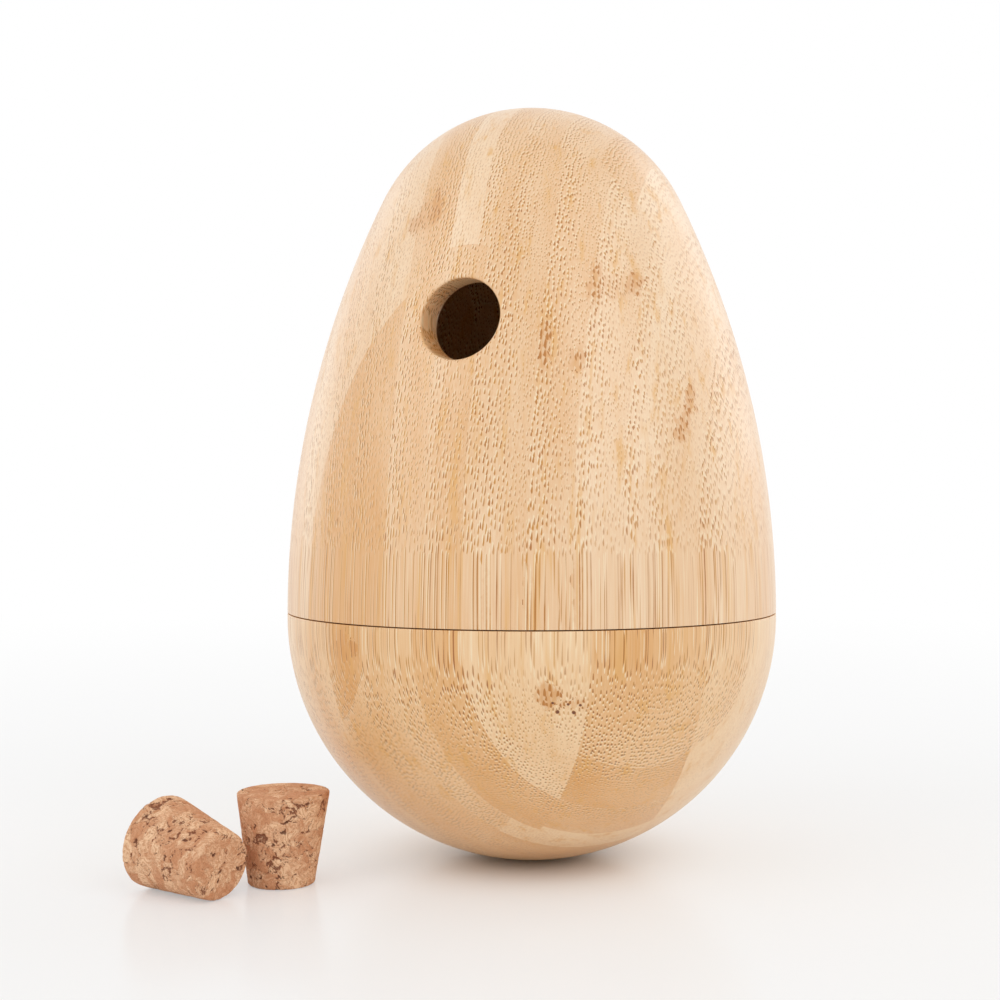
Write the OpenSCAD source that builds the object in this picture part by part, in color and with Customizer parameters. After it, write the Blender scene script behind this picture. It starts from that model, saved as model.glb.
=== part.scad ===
// Wobble treat dispenser: a bamboo egg turned in two shells, weighted in its bowl,
// with two treat holes and the pair of tapered corks that close them.
// Lengths are in millimetres. The origin is the middle of the foot and +Z is up.
// The front treat hole faces -Y.

/* [Shells] */
// Diameter of the egg at its waist, where the two shells meet
waist_d = 104; // [96:1:116]
// Height of the upper shell from the seam to the crown
crown_h = 107.5; // [100:0.5:116]
// Radius of the round crown that closes the upper shell
crown_r = 35.4; // [30:0.1:40]
// Diameter of the small flat foot that the egg stands on
foot_d = 12; // [8:1:20]
// Thickness of the turned wall of both shells
shell_wall = 8; // [7:0.5:10]
// Width of the broken edge round the seam on each shell
seam_break = 0.3; // [0.1:0.1:0.8]

/* [Treat holes] */
// Diameter of the treat holes, bored straight through the upper shell
hole_d = 16; // [12:0.5:20]
// Height of the treat holes' axis above the seam
hole_rise = 59; // [45:1:66]

/* [Closure] */
// Height of the spigot that stands up inside the upper shell
spigot_h = 9; // [8:0.5:14]
// Thickness of the spigot's wall
spigot_wall = 4; // [3.5:0.1:4.4]
// Width of the lead-in bevel round the top of the spigot
spigot_lead = 0.8; // [0.4:0.1:1.2]
// Gap all round between the spigot and its socket
spigot_gap = 0.15; // [0.1:0.05:0.4]
// Gap between the top of the spigot and the shoulder of its socket
shoulder_gap = 0.3; // [0.2:0.1:1]
// Thickness of the round seal ring
ring_d = 1.8; // [1.5:0.1:2]
// Height of the seal ring's middle above the seam
ring_rise = 4.5; // [3:0.5:6]
// Gap between the seal ring and what it touches
ring_gap = 0.05; // [0.02:0.01:0.1]

/* [Ballast] */
// Diameter of the steel ballast weight
weight_d = 52; // [40:1:54]
// Thickness of the steel ballast weight
weight_h = 12; // [8:0.5:13]
// Thickness of solid bamboo left between the weight and the foot
base_h = 13; // [10:0.5:16]
// Diameter of the bamboo cover over the weight
cover_d = 60; // [58:1:66]
// Thickness of the bamboo cover over the weight
cover_h = 3; // [2.5:0.5:5]
// Gap round the weight and the cover in their recesses
ballast_gap = 0.3; // [0.2:0.1:0.6]

/* [Ballast screw] */
// Diameter of the screw's shank
screw_d = 3.5; // [3:0.5:4.5]
// Length of the screw from the top of its head to its tip
screw_l = 22; // [20:1:24]
// Diameter of the countersunk head
screw_head_d = 7.2; // [6.5:0.1:9]
// Height of the countersunk head
screw_head_h = 2; // [1.5:0.1:2.4]
// Length of the screw's point
screw_point = 3; // [2:0.5:5]
// Gap between the screw and the holes that it passes through
screw_gap = 0.25; // [0.1:0.05:0.4]
// Width of each slot of the cross recess in the head
cross_w = 0.9; // [0.6:0.1:1.2]
// Length of each slot of the cross recess in the head
cross_l = 3.8; // [3:0.1:4.5]
// Depth of the cross recess in the head
cross_depth = 1.4; // [1:0.1:1.8]

/* [Corks] */
// Diameter of a cork at its large end
cork_large_d = 18.6; // [17:0.1:24]
// Diameter of a cork at its small end
cork_small_d = 13.2; // [10:0.1:15]
// Length of a cork
cork_l = 18.2; // [14:0.1:24]
// Width of the worn edge at both ends of a cork
cork_edge = 0.5; // [0.2:0.1:1]
// How far the standing cork is from the egg's axis, along -X
standing_left = 38.1; // [36:0.1:60]
// How far the standing cork is from the egg's axis, along -Y
standing_front = 41; // [38:0.1:60]
// How far the lying cork's large end is from the egg's axis, along -X
lying_left = 59.5; // [58:0.1:80]
// How far the lying cork's large end is from the egg's axis, along -Y
lying_front = 52.2; // [50:0.1:80]
// Direction from the lying cork's large end to its small end, from +X
lying_turn = -18.8; // [-30:0.1:-10]

/* [Hidden] */
$fn = 96;

// A cut runs this far past the face that it opens
cut = 1;

// The bowl is a ball about the middle of the seam, cut flat at the foot
waist_r = waist_d / 2;
foot_r = foot_d / 2;
seam_z = sqrt(waist_r * waist_r - foot_r * foot_r);
crown_z = seam_z + crown_h;

// The flank is an arc that leaves the waist upright and runs smoothly into the crown's ball
crown_mid = crown_h - crown_r;
flank_r = (waist_r * waist_r + crown_mid * crown_mid - crown_r * crown_r) / (2 * (waist_r - crown_r));
join_angle = atan(crown_mid / (flank_r - waist_r));

// The spigot and its socket
cavity_r = waist_r - shell_wall;
spigot_r = cavity_r + spigot_wall;
socket_r = spigot_r + spigot_gap;
socket_h = spigot_h + shoulder_gap;
ring_out_r = socket_r - ring_gap;
ring_mid_r = ring_out_r - ring_d / 2;
groove_r = ring_mid_r - ring_d / 2 - ring_gap;
groove_h = ring_d + 2 * ring_gap;

// The ballast is stacked on the solid base, and its cover is flush with the chamber's floor
weight_top = base_h + weight_h;
floor_z = weight_top + cover_h;
pocket_r = weight_d / 2 + ballast_gap;
recess_r = cover_d / 2 + ballast_gap;

// The screw
screw_r = screw_d / 2;
screw_head_r = screw_head_d / 2;
screw_hole_r = screw_r + screw_gap;
screw_tip = floor_z - screw_l;

// The treat holes
hole_z = seam_z + hole_rise;

// A cork's side slopes by this angle
cork_taper = atan((cork_large_d - cork_small_d) / (2 * cork_l));

bamboo = "#e2c193";
pale_bamboo = "#e9cda4";
cork_tan = "#cfa07c";
steel = "#b9bcc0";
zinc = "#d3d0c6";
silicone = "#ece9e0";

// Half-section of the bowl's ball, thinner than the egg by inset, from the height low up to the seam
module bowl_section(inset, low) {
    intersection() {
        translate([0, seam_z]) circle(r = waist_r - inset);
        translate([0, low]) square([waist_r + cut, seam_z - low]);
    }
}

// Half-section of the egg above the seam, thinner by inset: the flank's arc, then the crown's ball
module crown_section(inset) {
    crown_ball_r = crown_r - inset;
    join_z = seam_z + crown_mid + crown_ball_r * sin(join_angle);
    intersection() {
        translate([waist_r - flank_r, seam_z]) circle(r = flank_r - inset);
        translate([0, seam_z]) square([waist_r + cut, join_z - seam_z]);
    }
    intersection() {
        translate([0, seam_z + crown_mid]) circle(r = crown_ball_r);
        translate([0, join_z]) square([waist_r + cut, crown_z]);
    }
}

// A 45 degree cut round the waist's outer edge; side is 1 above the seam and -1 below it
module seam_break_cut(side) {
    rotate_extrude()
        polygon([
            [waist_r - seam_break, seam_z],
            [waist_r + cut, seam_z],
            [waist_r + cut, seam_z + side * (seam_break + cut)]
        ]);
}

// Lower shell: bowl, spigot, chamber floor, ballast pocket and the screw's blind hole
module lower_shell() {
    color(bamboo)
        difference() {
            union() {
                rotate_extrude() bowl_section(0, 0);
                spigot_blank();
            }
            rotate_extrude() bowl_section(shell_wall, floor_z);
            translate([0, 0, seam_z]) cylinder(r = cavity_r, h = spigot_h + cut);
            translate([0, 0, weight_top]) cylinder(r = recess_r, h = cover_h + cut);
            translate([0, 0, base_h]) cylinder(r = pocket_r, h = weight_h + cut);
            translate([0, 0, screw_tip]) cylinder(r = screw_hole_r, h = screw_l);
            ring_groove();
            seam_break_cut(-1);
        }
}

// Solid form of the spigot with its lead-in bevel, before the chamber is turned out
module spigot_blank() {
    straight_h = spigot_h - spigot_lead;
    translate([0, 0, seam_z - cut]) cylinder(r = spigot_r, h = straight_h + cut);
    translate([0, 0, seam_z + straight_h])
        cylinder(r1 = spigot_r, r2 = spigot_r - spigot_lead, h = spigot_lead);
}

// The square groove round the spigot that holds the seal ring
module ring_groove() {
    translate([0, 0, seam_z + ring_rise - groove_h / 2])
        difference() {
            cylinder(r = spigot_r + cut, h = groove_h);
            translate([0, 0, -cut]) cylinder(r = groove_r, h = groove_h + 2 * cut);
        }
}

// Upper shell: the tall cap of the egg, its cavity, the socket and two treat holes in line
module upper_shell() {
    color(pale_bamboo)
        difference() {
            rotate_extrude() crown_section(0);
            rotate_extrude() crown_section(shell_wall);
            translate([0, 0, seam_z - cut]) cylinder(r = socket_r, h = socket_h + cut);
            translate([0, 0, hole_z]) rotate([90, 0, 0])
                cylinder(r = hole_d / 2, h = waist_d, center = true);
            seam_break_cut(1);
        }
}

// Round silicone ring that grips the socket
module seal_ring() {
    color(silicone)
        translate([0, 0, seam_z + ring_rise])
            rotate_extrude() translate([ring_mid_r, 0]) circle(d = ring_d, $fn = 32);
}

// Steel disc with a hole for the screw
module ballast_weight() {
    color(steel)
        translate([0, 0, base_h])
            difference() {
                cylinder(d = weight_d, h = weight_h);
                translate([0, 0, -cut]) cylinder(r = screw_hole_r, h = weight_h + 2 * cut);
            }
}

// Bamboo disc over the weight, flush with the chamber's floor, countersunk for the screw
module ballast_cover() {
    color(bamboo)
        difference() {
            translate([0, 0, weight_top]) cylinder(d = cover_d, h = cover_h);
            translate([0, 0, weight_top - cut]) cylinder(r = screw_hole_r, h = cover_h + 2 * cut);
            translate([0, 0, floor_z - screw_head_h])
                cylinder(r1 = screw_hole_r, r2 = screw_head_r + screw_gap, h = screw_head_h);
        }
}

// Countersunk wood screw with a cross recess, through the cover and the weight into the base
module ballast_screw() {
    color(zinc)
        difference() {
            rotate_extrude()
                polygon([
                    [0, screw_tip],
                    [screw_r, screw_tip + screw_point],
                    [screw_r, floor_z - screw_head_h],
                    [screw_head_r, floor_z],
                    [0, floor_z]
                ]);
            for (turn = [0, 90])
                rotate([0, 0, turn])
                    translate([-cross_l / 2, -cross_w / 2, floor_z - cross_depth])
                        cube([cross_l, cross_w, cross_depth + cut]);
        }
}

// A tapered cork on its axis, small end down
module cork() {
    color(cork_tan)
        rotate_extrude()
            polygon([
                [0, 0],
                [cork_small_d / 2 - cork_edge, 0],
                [cork_small_d / 2 + cork_edge * tan(cork_taper), cork_edge],
                [cork_large_d / 2 - cork_edge * tan(cork_taper), cork_l - cork_edge],
                [cork_large_d / 2 - cork_edge, cork_l],
                [0, cork_l]
            ]);
}

// Cork standing on its small end, in front of the egg
module standing_cork() {
    translate([-standing_left, -standing_front, 0]) cork();
}

// Cork lying along its side, its large end away from the egg
module lying_cork() {
    translate([-lying_left, -lying_front, cork_large_d / 2 * cos(cork_taper)])
        rotate([0, 0, lying_turn])
            rotate([0, -90 + cork_taper, 0])
                translate([0, 0, -cork_l]) cork();
}

lower_shell();
upper_shell();
seal_ring();
ballast_weight();
ballast_cover();
ballast_screw();
standing_cork();
lying_cork();
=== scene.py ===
"""The looks of a wobble treat dispenser: a bamboo egg turned in two shells, its ballast and its two corks.

Shapes are worked out in millimetres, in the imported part's own frame, and become metres as each mesh is made.
The bamboo is a solid pattern: the strips lie side by side in plan and their fibre bundles run straight up,
so a bundle shows as a dot on the crown and as a long streak at the waist, as it does on a turned block.
"""
import math

import bpy
import numpy as np
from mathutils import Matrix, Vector


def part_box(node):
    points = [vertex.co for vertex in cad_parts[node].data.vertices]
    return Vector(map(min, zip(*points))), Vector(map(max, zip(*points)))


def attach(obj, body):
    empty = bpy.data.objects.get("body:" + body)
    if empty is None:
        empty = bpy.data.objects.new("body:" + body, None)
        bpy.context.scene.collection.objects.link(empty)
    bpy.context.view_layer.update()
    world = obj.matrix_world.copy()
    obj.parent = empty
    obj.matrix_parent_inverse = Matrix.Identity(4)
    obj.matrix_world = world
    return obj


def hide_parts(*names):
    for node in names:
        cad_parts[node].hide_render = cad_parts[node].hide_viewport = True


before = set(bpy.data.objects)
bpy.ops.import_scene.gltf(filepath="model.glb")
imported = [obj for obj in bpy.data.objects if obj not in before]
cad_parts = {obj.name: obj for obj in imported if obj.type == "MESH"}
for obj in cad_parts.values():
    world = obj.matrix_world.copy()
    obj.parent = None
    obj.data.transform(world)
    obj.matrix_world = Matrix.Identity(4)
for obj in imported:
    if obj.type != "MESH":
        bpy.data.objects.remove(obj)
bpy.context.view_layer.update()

# Camera
# The photograph looks at the egg from 18.9 degrees to the right of its front treat hole, at mid-height,
# through a lens a little longer than a normal one that is held almost level.
view_turn = math.radians(18.9)
view_tilt = math.radians(89.567)
view_distance = 0.3443
view_height = 0.07848
camera_lens = bpy.data.cameras.new("camera")
camera_lens.lens = 57.6
camera_lens.sensor_width = 36
camera_lens.shift_x = -0.0318
camera = bpy.data.objects.new("camera", camera_lens)
camera.location = (view_distance * math.sin(view_turn), -view_distance * math.cos(view_turn), view_height)
camera.rotation_euler = (view_tilt, 0, view_turn)
bpy.context.scene.collection.objects.link(camera)
bpy.context.scene.camera = camera
bpy.context.scene.view_settings.view_transform = "Standard"

# Studio
# A plain white table top under soft daylight lamps. The white surroundings show behind the egg and in
# its gloss, and the table fades into them, a little close by and the rest with distance.
table_half = 3000
table_drop = 0.05
near_fade, far_fade = (0.010, 0.045), (0.06, 0.7)
near_share = 0.35
sky_level = 0.7
lamp_distance = 1.0


def wire(tree, kind, *values, **settings):
    """Adds a node, sets its settings, and fills its inputs in order with plain values or other sockets."""
    made = tree.nodes.new("ShaderNode" + kind)
    for name, value in settings.items():
        setattr(made, name, value)
    for socket, value in zip(made.inputs, values):
        if isinstance(value, bpy.types.NodeSocket):
            tree.links.new(value, socket)
        elif value is not None:
            socket.default_value = value
    return made


def reckon(tree, operation, *values):
    """One step of arithmetic on plain numbers."""
    return wire(tree, "Math", *values, operation=operation).outputs[0]


def ease(tree, value, start, end, low=0.0, high=1.0):
    """Runs smoothly from low to high while value goes from start to end, and stays level outside them."""
    return wire(tree, "MapRange", value, start, end, low, high, interpolation_type="SMOOTHSTEP").outputs[0]


def shade(red, green, blue):
    """A colour given as it looks on a screen, from 0 to 255, turned into the linear one that nodes take."""
    looks = np.array((red, green, blue)) / 255
    linear = np.where(looks <= 0.04045, looks / 12.92, ((looks + 0.055) / 1.055) ** 2.4)
    return (*linear.tolist(), 1.0)


def finish_of(name):
    """A new material, its tree and its Principled shader."""
    material = bpy.data.materials.new(name)
    material.use_nodes = True
    return material, material.node_tree, material.node_tree.nodes["Principled BSDF"]


def smooth_mesh(name, points, faces):
    """A smoothly shaded mesh object at the origin, from points in millimetres."""
    mesh = bpy.data.meshes.new(name)
    mesh.from_pydata((np.asarray(points) * 0.001).tolist(), [], faces)
    mesh.polygons.foreach_set("use_smooth", [True] * len(mesh.polygons))
    mesh.update()
    made = bpy.data.objects.new(name, mesh)
    bpy.context.scene.collection.objects.link(made)
    return made


def seen_itself(tree):
    """1 where a ray comes from the camera, also by way of a mirror or glass, and 0 where it only lights."""
    paths = wire(tree, "LightPath").outputs
    mirrored = reckon(tree, "MAXIMUM", paths["Is Glossy Ray"], paths["Is Transmission Ray"])
    return reckon(tree, "MAXIMUM", paths["Is Camera Ray"], mirrored)


def softbox(name, azimuth, height, size, watts):
    """A square lamp that faces the middle of the egg from a direction in degrees, 0 being in front."""
    lamp = bpy.data.lights.new(name, "AREA")
    lamp.size = size
    lamp.energy = watts
    box = bpy.data.objects.new(name, lamp)
    turn = math.radians(azimuth)
    box.location = (lamp_distance * math.sin(turn), -lamp_distance * math.cos(turn), height)
    aim = Vector((0, 0, view_height)) - box.location
    box.rotation_euler = aim.to_track_quat("-Z", "Y").to_euler()
    bpy.context.scene.collection.objects.link(box)


table = smooth_mesh(
    "table",
    [(x * table_half, y * table_half, -table_drop) for x, y in ((-1, -1), (1, -1), (1, 1), (-1, 1))],
    [(0, 1, 2, 3)],
)
table_finish, tree, principled = finish_of("white_table")
principled.inputs["Base Color"].default_value = (0.95, 0.95, 0.947, 1)
principled.inputs["Roughness"].default_value = 0.22
principled.inputs["Specular IOR Level"].default_value = 0.12
place = wire(tree, "TexCoord").outputs["Object"]
from_egg = wire(tree, "VectorMath", place, operation="LENGTH").outputs["Value"]
nearby = ease(tree, from_egg, *near_fade, 0.0, near_share)
faded = reckon(tree, "ADD", ease(tree, from_egg, *far_fade, 0.0, 1 - near_share), nearby)
from_below = wire(tree, "NewGeometry").outputs["Backfacing"]
white = wire(tree, "Emission", (1, 1, 1, 1), 1.0)
clear = wire(tree, "BsdfTransparent")
faded = reckon(tree, "MULTIPLY", faded, seen_itself(tree))
fading = wire(tree, "MixShader", faded, principled.outputs[0], white.outputs[0])
top_only = wire(tree, "MixShader", from_below, fading.outputs[0], clear.outputs[0])
tree.links.new(top_only.outputs[0], tree.nodes["Material Output"].inputs["Surface"])
table.data.materials.append(table_finish)

studio = bpy.data.worlds.new("studio")
studio.use_nodes = True
bpy.context.scene.world = studio
tree = studio.node_tree
sky = tree.nodes["Background"].inputs
sky["Color"].default_value = (1, 1, 1, 1)
tree.links.new(ease(tree, seen_itself(tree), 0, 1, sky_level, 1.0), sky["Strength"])
softbox("right_softbox", azimuth=60, height=0.75, size=0.9, watts=2.6)
softbox("left_softbox", azimuth=-40, height=0.65, size=0.9, watts=2.3)
softbox("right_rim_softbox", azimuth=140, height=0.55, size=0.9, watts=1.7)
softbox("left_rim_softbox", azimuth=-110, height=0.4, size=0.7, watts=0.7)

# Lower shell
# A bowl turned from a laminated bamboo block. It has a spigot for the upper shell, a groove for the
# seal ring and a stepped pocket for the ballast, and is sanded and waxed to a satin.


def millimetres(box):
    """A box's lowest and highest corner, given in metres."""
    return [np.array(corner) * 1000 for corner in box]


bowl_high = millimetres(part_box("lower_shell"))[1]
cap_low, cap_high = millimetres(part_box("upper_shell"))
cover_low, cover_high = millimetres(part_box("ballast_cover"))
weight_low, weight_high = millimetres(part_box("ballast_weight"))
screw_low = millimetres(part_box("ballast_screw"))[0]
ring_low, ring_high = millimetres(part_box("seal_ring"))
wall = 8.0
spigot_wall = 4.0
spigot_lead = 0.8
screw_hole_r = 2.0
ballast_gap = 0.3
ring_gap = 0.05
parting_rise = 0.55
edge_inset = 0.02
turn_count = 256
face_step = 1.2
to_mm = (1000, 1000, 1000)

# The bowl is a ball of the waist's radius about the seam's middle, cut flat at its foot
waist_r = bowl_high[0]
seam_z = cap_low[2]
parting_z = seam_z + parting_rise
cavity_r = waist_r - wall
spigot_r = cavity_r + spigot_wall
spigot_top = bowl_high[2]
foot_r = math.sqrt(waist_r**2 - seam_z**2)
foot_angle = math.degrees(math.atan2(-seam_z, foot_r))
floor_z = cover_high[2]
floor_r = math.sqrt(cavity_r**2 - (seam_z - floor_z) ** 2)
floor_angle = math.degrees(math.atan2(floor_z - seam_z, floor_r))
ring_thickness = ring_high[2] - ring_low[2]
groove_r = -ring_low[0] - ring_thickness - ring_gap
pocket_r = weight_high[0] + ballast_gap
recess_r = cover_high[0] + ballast_gap


def arc(middle_r, middle_z, radius, start, end, steps):
    """Points of an arc in the half-section: middle + radius * (cos a, sin a) for angles a in degrees."""
    turns = np.radians(np.linspace(start, end, steps))
    return np.stack([middle_r + radius * np.cos(turns), middle_z + radius * np.sin(turns)], 1)


def softened(corners, steps=5):
    """A line through corners (r, z, cut). Each cut trades its corner C for the parabola that leaves the side
    before it at A and meets the side after it at B, both a length cut away: (1-t)^2 A + 2t(1-t) C + t^2 B."""
    corners = np.asarray(corners, float)
    line = [corners[:1, :2]]
    share = np.linspace(0, 1, steps)[:, None]
    for before, corner, after in zip(corners, corners[1:], corners[2:]):
        middle, cut = corner[:2], corner[2]
        if cut == 0:
            line.append(middle[None])
            continue
        start = middle + (before[:2] - middle) * cut / np.linalg.norm(before[:2] - middle)
        end = middle + (after[:2] - middle) * cut / np.linalg.norm(after[:2] - middle)
        line.append((1 - share) ** 2 * start + 2 * share * (1 - share) * middle + share**2 * end)
    return np.concatenate([*line, corners[-1:, :2]])


def closer(line, step):
    """The same line with points added, so that none is further than step from the next."""
    parts = []
    for start, end in zip(line, line[1:]):
        count = max(1, math.ceil(np.linalg.norm(end - start) / step))
        parts.append(start + (end - start) * (np.arange(count) / count)[:, None])
    return np.concatenate([*parts, line[-1:]])


def turned(line, count):
    """A half-section turned round Z. Ring j, angle a is (r cos a, r sin a, z), and the line's first and last
    points, on the axis, become single poles. A line that runs down the outside makes faces that look out."""
    turns = np.arange(count) * 2 * np.pi / count
    rings = line[1:-1]
    points = np.stack(
        [np.outer(rings[:, 0], np.cos(turns)), np.outer(rings[:, 0], np.sin(turns)),
         np.repeat(rings[:, 1:], count, 1)], -1,
    ).reshape(-1, 3)
    points = np.vstack([points, (0, 0, line[0, 1]), (0, 0, line[-1, 1])])
    first_pole, last_pole = len(points) - 2, len(points) - 1
    ring, side = np.meshgrid(np.arange(len(rings) - 1), np.arange(count), indexing="ij")
    here, beside = ring * count + side, ring * count + (side + 1) % count
    walls = np.stack([here, here + count, beside + count, beside], -1)
    caps = [[first_pole, a, b] for a, b in zip(here[0].tolist(), beside[0].tolist())]
    last, last_beside = here[-1] + count, beside[-1] + count
    caps += [[a, last_pole, b] for a, b in zip(last.tolist(), last_beside.tolist())]
    return points, walls, caps


def plain_corners(points):
    """Points of a curve as corners that keep their place, with no cut."""
    return [(r, z, 0) for r, z in points]


bowl_line = softened(
    [
        (0, screw_low[2], 0),
        (screw_hole_r, screw_low[2], 0.2),
        (screw_hole_r, weight_low[2], 0.3),
        (pocket_r, weight_low[2], 0.3),
        (pocket_r, cover_low[2], 0.3),
        (recess_r, cover_low[2], 0.2),
        (recess_r, floor_z, 0.35),
        (floor_r, floor_z, 0.8),
        *plain_corners(arc(0, seam_z, cavity_r, floor_angle + 1.5, -0.5, 40)),
        (cavity_r, spigot_top, 0.5),
        (spigot_r - spigot_lead, spigot_top, 0.3),
        (spigot_r, spigot_top - spigot_lead, 0.3),
        (spigot_r, ring_high[2] + ring_gap, 0.15),
        (groove_r, ring_high[2] + ring_gap, 0.1),
        (groove_r, ring_low[2] - ring_gap, 0.1),
        (spigot_r, ring_low[2] - ring_gap, 0.15),
        (spigot_r, parting_z, 0.1),
        (waist_r - edge_inset, parting_z, 0.1),
        *plain_corners(arc(0, seam_z, waist_r, -0.5, foot_angle + 0.6, 90)),
        (foot_r, 0, 0.5),
        (0, 0, 0),
    ]
)
points, walls, caps = turned(closer(bowl_line, face_step), turn_count)
lower_shell = smooth_mesh("lower_shell_turned", points, walls.reshape(-1, 4).tolist() + caps)


def group_of(name, inputs, outputs):
    """A shader node group with named sockets, and its two end nodes."""
    group = bpy.data.node_groups.new(name, "ShaderNodeTree")
    for label, kind in inputs.items():
        group.interface.new_socket(label, in_out="INPUT", socket_type="NodeSocket" + kind)
    for label, kind in outputs.items():
        group.interface.new_socket(label, in_out="OUTPUT", socket_type="NodeSocket" + kind)
    return group, group.nodes.new("NodeGroupInput").outputs, group.nodes.new("NodeGroupOutput").inputs


def along_with(tree, operation, *values):
    """One step of arithmetic on vectors."""
    made = wire(tree, "VectorMath", *values, operation=operation)
    return made.outputs["Value" if operation in ("LENGTH", "DISTANCE", "DOT_PRODUCT") else "Vector"]


def scaled(tree, vector, factor):
    """A vector times a plain number or a socket."""
    return wire(tree, "VectorMath", vector, None, None, factor, operation="SCALE").outputs["Vector"]


def mixed(tree, factor, first, second):
    """Two colours mixed, from the first at factor 0 to the second at 1."""
    made = wire(tree, "Mix", factor, data_type="RGBA")
    for socket, value in ((made.inputs[6], first), (made.inputs[7], second)):
        if isinstance(value, bpy.types.NodeSocket):
            tree.links.new(value, socket)
        else:
            socket.default_value = value
    return made.outputs[2]


def noise(tree, place, detail, roughness=0.5, scale=1.0):
    """Smooth noise over a place. Its outputs are a value and a colour, both about a half on average."""
    return wire(tree, "TexNoise", place, None, scale, detail, roughness).outputs


def centred(tree, colour, reach):
    """A noise's colour as a vector about nought, reach times as long."""
    return scaled(tree, along_with(tree, "SUBTRACT", colour, (0.5, 0.5, 0.5)), reach)


def varied(tree, value, reach, middle):
    """A noise's value about nought, reach times as large, added to middle."""
    return reckon(tree, "MULTIPLY_ADD", reckon(tree, "SUBTRACT", value, 0.5), reach, middle)


grain, given, result = group_of(
    "bamboo_grain",
    {"Plan": "Vector", "Packing": "Vector", "Bundle": "Vector", "Strip": "Vector",
     "Stain": "Float", "Pale": "Color", "Tan": "Color", "Dots": "Color"},
    {"Color": "Color", "Roughness": "Float", "Height": "Float"},
)
across, _, up = wire(grain, "SeparateXYZ", given["Plan"]).outputs
strip_start, tone, bundles = wire(grain, "SeparateXYZ", given["Strip"]).outputs
strip_thickness = 8.0
from_start = reckon(grain, "SUBTRACT", across, strip_start)
turned_round = reckon(grain, "LESS_THAN", bundles, 0.0)
from_end = reckon(grain, "MULTIPLY_ADD", from_start, -2.0, strip_thickness)
from_bark = reckon(grain, "MULTIPLY_ADD", turned_round, from_end, from_start)
bundle_share = reckon(grain, "ABSOLUTE", bundles)

# Bundles wander a little on their way up the culm. Round the waist they follow the bulge of the egg, so
# that they show there as unbroken lines: their plan grows by the square of the height from the seam, until
# the lines end, and shrinks again further up. The ends are uneven from bundle to bundle.
sway_reach = 1.6
lines_above, lines_below = 14.5, 11.0
uneven_above, uneven_below = 12.0, 8.0
short_above, shrinking = 44.5, 2.1
bulge_r = 200.0
slow = along_with(grain, "MULTIPLY", given["Plan"], (0.07, 0.07, 0.014))
wander = noise(grain, slow, 2.0)["Color"]
sway = centred(grain, wander, sway_reach)
from_seam = reckon(grain, "SUBTRACT", up, seam_z)
flat_plan = along_with(grain, "MULTIPLY", given["Plan"], (0.5, 0.5, 0.0))
uneven = noise(grain, flat_plan, 1.0)[0]
end_above = varied(grain, uneven, uneven_above, lines_above)
end_below = varied(grain, uneven, uneven_below, lines_below)
under_seam = reckon(grain, "MULTIPLY", from_seam, -1.0)
above = reckon(grain, "MINIMUM", reckon(grain, "MAXIMUM", from_seam, 0.0), end_above)
below = reckon(grain, "MINIMUM", reckon(grain, "MAXIMUM", under_seam, 0.0), end_below)
shrunk = 1 - shrinking / waist_r
follow = wire(grain, "MapRange", from_seam, lines_above, short_above, 1.0, shrunk).outputs[0]
above_squared = reckon(grain, "MULTIPLY", above, above)
follow = reckon(grain, "MULTIPLY_ADD", above_squared, 0.5 / bulge_r / waist_r, follow)
slowing = reckon(grain, "MULTIPLY_ADD", reckon(grain, "DIVIDE", below, end_below), -1 / 3, 0.5)
slowing = reckon(grain, "MULTIPLY", slowing, reckon(grain, "MULTIPLY", below, below))
follow = reckon(grain, "MULTIPLY_ADD", slowing, 1 / waist_r**2, follow)
bundle_plan = along_with(grain, "ADD", scaled(grain, given["Plan"], follow), sway)

# Bold bundles near the bark side of a strip, faint small ones towards its pith side, and large ones in the
# stain of a node. A bundle lies in the cell of its own middle, with its dark cap on one side and a pale vessel
# on the other, and it shows where its distance from that middle, in its own sizes, is under 1. The dark and
# pale sides face the same way on every bundle. They are partly its own colours, and partly painted shade and
# painted highlight, as on a raised bundle lit from one side
packed = along_with(grain, "MULTIPLY", bundle_plan, given["Packing"])


def bundle_cells(scale, randomness):
    """The cells that hold one bundle each: the middle of the one that a point is in, and its own colour."""
    cells = wire(grain, "TexVoronoi", packed, None, scale, voronoi_dimensions="2D")
    cells.inputs["Randomness"].default_value = randomness
    return cells.outputs["Position"], cells.outputs["Color"]


faint_scale, knot_scale = 1.2, 0.82
faint_from, knot_from = 7.2, 0.3
bold_middle, bold_chance = bundle_cells(1.0, 0.62)
faint_middle, faint_chance = bundle_cells(faint_scale, 0.75)
knot_middle, knot_chance = bundle_cells(knot_scale, 0.7)
ragged = reckon(grain, "MULTIPLY_ADD", wire(grain, "SeparateXYZ", wander).outputs[0], 4.0, from_bark)
ragged = reckon(grain, "MULTIPLY_ADD", given["Stain"], -20.0, ragged)
is_faint = reckon(grain, "GREATER_THAN", ragged, faint_from)
is_knot = reckon(grain, "GREATER_THAN", given["Stain"], knot_from)
middle = mixed(grain, is_faint, bold_middle, faint_middle)
middle = mixed(grain, is_knot, middle, knot_middle)
chance = mixed(grain, is_faint, bold_chance, faint_chance)
chance = mixed(grain, is_knot, chance, knot_chance)
luck, size_luck, tint_luck = wire(grain, "SeparateColor", chance).outputs
bundle_size = along_with(grain, "MULTIPLY", given["Packing"], given["Bundle"])
offset = along_with(grain, "DIVIDE", along_with(grain, "SUBTRACT", packed, middle), bundle_size)
offset = along_with(grain, "MULTIPLY", offset, (1.0, 1.0, 0.0))
cell_scale = reckon(grain, "MULTIPLY_ADD", is_faint, faint_scale - 1, 1.0)
cell_scale = reckon(grain, "MULTIPLY_ADD", is_knot, knot_scale - 1, cell_scale)
offset = scaled(grain, offset, cell_scale)
distance = along_with(grain, "LENGTH", offset)
distance = reckon(grain, "DIVIDE", distance, reckon(grain, "MULTIPLY_ADD", size_luck, 0.3, 0.85))
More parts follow.
